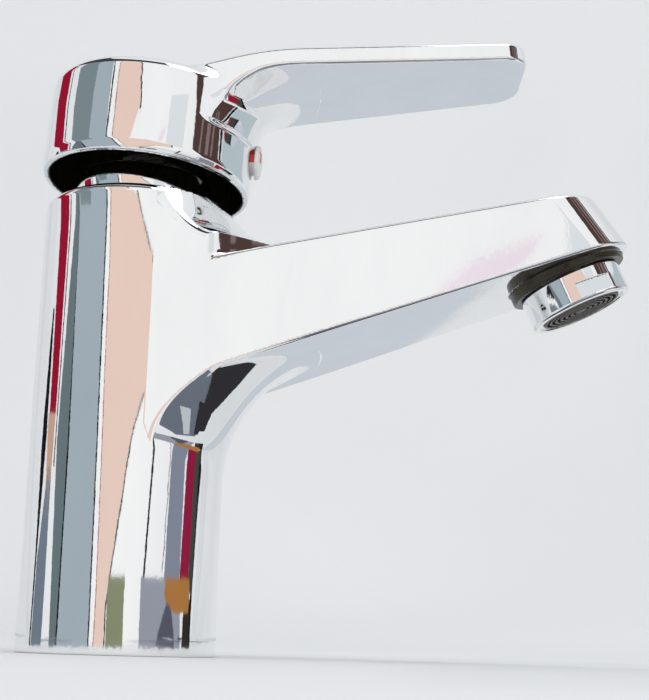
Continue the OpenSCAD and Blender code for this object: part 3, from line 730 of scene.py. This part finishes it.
def card(name, rows, colour, radius=0.62, ragged=0.0):
    """A curved card beside the object, which only reflections show.

    Each row is a height in metres and the bearings of the card's left and right edge there, in
    degrees from -Y towards +X. Between rows the edges run straight, or wander if it is ragged."""
    heights = [row[0] for row in rows]
    n, steps = 12, 60
    verts, faces = [], []
    for j in range(steps + 1):
        z = heights[0] + (heights[-1] - heights[0]) * j / steps
        left = np.interp(z, heights, [row[1] for row in rows])
        right = np.interp(z, heights, [row[2] for row in rows])
        wave = ragged * (math.sin(z * 190) + 0.6 * math.sin(z * 517 + 1) + 0.4 * math.sin(z * 1130))
        for i in range(n + 1):
            a = math.radians(left + (right - left) * i / n + wave)
            verts.append((radius * math.sin(a), -radius * math.cos(a), z))
    for j in range(steps):
        for i in range(n):
            k = j * (n + 1) + i
            faces.append((k, k + 1, k + n + 2, k + n + 1))
    name = "card_" + name
    mesh = bpy.data.meshes.new(name)
    mesh.from_pydata(verts, [], faces)
    hidden_card(bpy.data.objects.new(name, mesh), glow(name, colour))


def ground_card(name, points, colour, z=0.004):
    """A low card on the floor, which only reflections show."""
    mesh = bpy.data.meshes.new(name)
    mesh.from_pydata([(x, y, z) for x, y in points], [], [tuple(range(len(points)))])
    hidden_card(bpy.data.objects.new(name, mesh), glow(name, colour))


def hidden_card(obj, material):
    """Puts a card on the stage, hidden from every ray that isn't a reflection."""
    obj.data.materials.append(material)
    scene.collection.objects.link(obj)
    for ray in ("camera", "diffuse", "transmission", "volume_scatter", "shadow"):
        setattr(obj, "visible_" + ray, False)


def world():
    """A pale room all round, a little darker and bluer towards +Y."""
    w = bpy.data.worlds.new("studio")
    scene.world = w
    w.use_nodes = True
    tree = w.node_tree
    back = tree.nodes["Background"]
    coords = tree.nodes.new("ShaderNodeTexCoord")
    split = tree.nodes.new("ShaderNodeSeparateXYZ")
    tree.links.new(coords.outputs["Generated"], split.inputs["Vector"])
    ramp = tree.nodes.new("ShaderNodeValToRGB")
    ramp.color_ramp.elements[0].position = 0.0
    ramp.color_ramp.elements[0].color = (0.95, 0.95, 0.95, 1)
    ramp.color_ramp.elements[1].position = 0.75
    ramp.color_ramp.elements[1].color = (0.74, 0.765, 0.79, 1)
    spread = tree.nodes.new("ShaderNodeMapRange")
    spread.inputs["From Min"].default_value = -1
    tree.links.new(split.outputs["Y"], spread.inputs["Value"])
    tree.links.new(spread.outputs["Result"], ramp.inputs["Fac"])
    tree.links.new(ramp.outputs["Color"], back.inputs["Color"])
    back.inputs["Strength"].default_value = 1.0


def lamp(name, place, size, power, aim):
    """A round soft light that looks at a point."""
    data = bpy.data.lights.new(name, "AREA")
    data.shape = "DISK"
    data.size = size
    data.energy = power
    obj = bpy.data.objects.new(name, data)
    obj.location = place
    obj.rotation_euler = (Vector(aim) - Vector(place)).to_track_quat("-Z", "Y").to_euler()
    scene.collection.objects.link(obj)


floor()
world()
lamp("key", (0.5, -0.5, 1.1), 0.6, 2, (0.05, 0, 0.08))

# The cards stand for a coloured room around the object, from below the floor to above the handle.
# Heights are on a grid of 5 mm, and bearings in whole degrees.
LOW, TALL = -0.02, 0.75
BLACK, WHITE = (0.01, 0.01, 0.012), (0.95, 0.95, 0.95)
CRIMSON, SLATE, TEAL = (0.30, 0.008, 0.03), (0.16, 0.20, 0.25), (0.14, 0.185, 0.20)


def band(name, start, end, colour, low=LOW, high=TALL, **words):
    """A card with upright edges."""
    card(name, [(low, start, end), (high, start, end)], colour, **words)


def line(name, path, width=1.5, colour=BLACK, **words):
    """A narrow card whose left edge runs through a few heights and bearings."""
    card("line_" + name, [(z, a, a + width) for z, a in path], colour, **words)


# Left of the object
card("crimson", [(0.17, -94, -83), (0.32, -99, -83), (0.45, -122, -101), (TALL, -126, -106)], CRIMSON)
card("tan", [(0.09, -90, -85), (0.17, -96, -83)], (0.55, 0.36, 0.27))
card("line_a", [(LOW, -103, -101), (0.06, -103, -100), (0.15, -106, -97), (0.25, -102, -99)], BLACK)
card("slate_left", [(LOW, -100, -81), (0.06, -99, -82), (0.13, -90, -84)], SLATE)
line("b", [(0.13, -81), (0.32, -81), (0.45, -98), (TALL, -102)])
card("teal", [(LOW, -68, -60), (0.15, -78, -62), (0.32, -73, -66), (0.40, -80, -76)], TEAL)
line("c", [(LOW, -60), (0.15, -62), (0.32, -68), (0.40, -76)], 2)
card("blue_grey", [(LOW, -58, -21), (0.15, -60, -26), (0.32, -66, -31), (0.40, -80, -38), (0.45, -86, -40),
                   (TALL, -90, -44)], (0.37, 0.44, 0.49))
card("blue_grey_deep", [(0.33, -66, -52), (0.40, -80, -58), (0.45, -86, -60), (TALL, -90, -62)],
     (0.20, 0.25, 0.27), radius=0.615)
line("d", [(LOW, -21), (0.15, -26), (0.32, -31), (0.40, -38), (TALL, -44)])
# In front: a warm card whose right edge swings out to 31 degrees and back, with a dark red left rim
PEACH = [(LOW, -15, -4), (0.03, -15, -5), (0.15, -19, 12), (0.175, -20, 19), (0.20, -21, 31),
         (0.285, -23, 31), (0.30, -24, 20), (0.345, -27, 2), (0.35, -27, -12), (0.385, -29, -12),
         (0.40, -30, -5), (0.45, -32, -8), (TALL, -34, -12)]
card("peach", PEACH, (0.83, 0.63, 0.54))
card("peach_edge", [(z, a - 0.8, a) for z, a, b in PEACH], (0.42, 0.12, 0.14))
# Its right edge has a dark line, but for the step between the two
for name, part in (("peach_low", PEACH[:8]), ("peach_high", PEACH[-3:])):
    line(name, [(z, b) for z, a, b in part], colour=(0.04, 0.04, 0.045), ragged=0.3)
card("olive", [(LOW, -2, 17), (0.05, -3, 15)], (0.24, 0.265, 0.16), radius=0.61)
card("tint", [(0.355, 17, 21), (0.36, 18, 24), (0.365, 20, 25)], (0.88, 0.77, 0.86))
card("tip_grey", [(0.28, 27, 44), (0.405, 26, 44)], (0.74, 0.775, 0.80), radius=0.65)
# Right of the object
card("line_e", [(0.05, 35, 37), (0.15, 39, 41), (0.16, 46, 49), (0.18, 66, 70)], BLACK)
line("f", [(0.055, 57), (0.15, 60)], 1, (0.2, 0.21, 0.23), ragged=0.5)
card("slate_right", [(0.05, 60, 80), (0.155, 62, 80)], (0.22, 0.245, 0.31))
card("crimson_right", [(0.045, 80, 93), (0.15, 83, 95)], (0.27, 0.012, 0.05))
card("green_right", [(0.04, 93, 99), (0.17, 95, 103)], (0.05, 0.062, 0.05))
card("line_g", [(LOW, 97, 100), (0.04, 97, 100), (0.10, 100, 103), (0.17, 103, 110)], BLACK)
card("rust", [(0.025, 74, 95), (0.035, 62, 96), (0.05, 62, 95)], (0.40, 0.18, 0.05), radius=0.612)
card("rust_high", [(0.15, 80, 98), (0.16, 66, 100)], (0.34, 0.15, 0.06), radius=0.612)
card("grey_low", [(LOW, 35, 87), (0.05, 33, 81)], (0.30, 0.32, 0.38), radius=0.618)
card("dark_low", [(LOW, 50, 80), (0.01, 56, 76), (0.035, 66, 69)], (0.09, 0.095, 0.13), radius=0.613)
card("black_low", [(LOW, 87, 98), (0.035, 88, 97)], (0.03, 0.025, 0.02), radius=0.614)
card("brown", [(0.19, 66, 94), (0.33, 55, 86), (0.40, 52, 80), (TALL, 50, 78)], (0.075, 0.045, 0.04))
for name, start, end in (("brown_streak_a", 62, 64), ("brown_streak_b", 69, 73), ("brown_streak_c", 76, 78)):
    band(name, start, end, (0.22, 0.16, 0.16), 0.3, radius=0.61)
line("h", [(0.19, 95), (0.33, 87), (0.40, 81), (TALL, 79)], 3)
card("pale_blue", [(0.20, 98, 132), (0.33, 91, 130), (0.40, 85, 126), (0.44, 85, 116)], (0.46, 0.54, 0.58))
# Overhead, seen only in the rounded top edges
band("overhead", -125, 24, (0.05, 0.05, 0.055), 0.75, 1.5, radius=0.60)
# Low down, seen in the flare under the spout and in the aerator's ring
ground_card("ground_black", [(0.06, -0.01), (0.16, -0.03), (0.26, -0.035), (0.26, 0.02), (0.16, 0.015),
                             (0.115, 0.055), (0.075, 0.07)], (0.03, 0.03, 0.035))
ground_card("ground_slate", [(0.06, -0.2), (0.34, -0.2), (0.34, -0.035), (0.16, -0.025), (0.08, -0.012)],
            (0.14, 0.165, 0.20))
ground_card("ground_behind", [(-0.6, 0.18), (1.4, 0.18), (1.4, 0.54), (-0.6, 0.54)],
            (0.58, 0.62, 0.67), 0.006)
ground_card("ground_left", [(-0.75, -0.9), (-0.30, -0.45), (-0.25, -0.02), (-0.75, -0.02)],
            (0.16, 0.20, 0.23))
ground_card("ground_left_black", [(-0.43, -0.33), (-0.36, -0.30), (-0.31, -0.10), (-0.37, -0.10)],
            BLACK, 0.005)
ground_card("ground_left_white", [(-0.36, -0.30), (-0.33, -0.29), (-0.29, -0.10), (-0.31, -0.10)],
            WHITE, 0.005)
ground_card("ground_streak", [(0.10, -0.07), (0.30, -0.12), (0.30, -0.08), (0.12, -0.05)],
            (0.50, 0.54, 0.58), 0.005)
ground_card("ground_dark", [(0.11, -0.03), (0.30, -0.05), (0.30, -0.02), (0.14, 0.0)],
            (0.03, 0.03, 0.035), 0.005)


# ---------- camera ----------

def camera():
    """Level with the deck and close to the object, looking up a little."""
    data = bpy.data.cameras.new("camera")
    obj = bpy.data.objects.new("camera", data)
    scene.collection.objects.link(obj)
    scene.camera = obj
    data.sensor_width = 36
    data.lens = 62.1
    data.shift_y = 0.1
    data.clip_start = 0.01
    data.clip_end = 50
    place = (0.0561, -0.3103, 0.003)
    yaw, pitch, roll = (math.radians(a) for a in (-0.926, 10.723, 1.622))
    ahead = np.array([math.sin(yaw) * math.cos(pitch), math.cos(yaw) * math.cos(pitch), math.sin(pitch)])
    right = np.array([math.cos(yaw), -math.sin(yaw), 0])
    up = np.cross(right, ahead)
    side = math.cos(roll) * right + math.sin(roll) * up
    rise = math.cos(roll) * up - math.sin(roll) * right
    turn = Matrix([[side[k], rise[k], -ahead[k]] for k in range(3)])
    obj.matrix_world = Matrix.Translation(place) @ turn.to_4x4()


camera()
scene.view_settings.view_transform = "Standard"
scene.view_settings.look = "None"
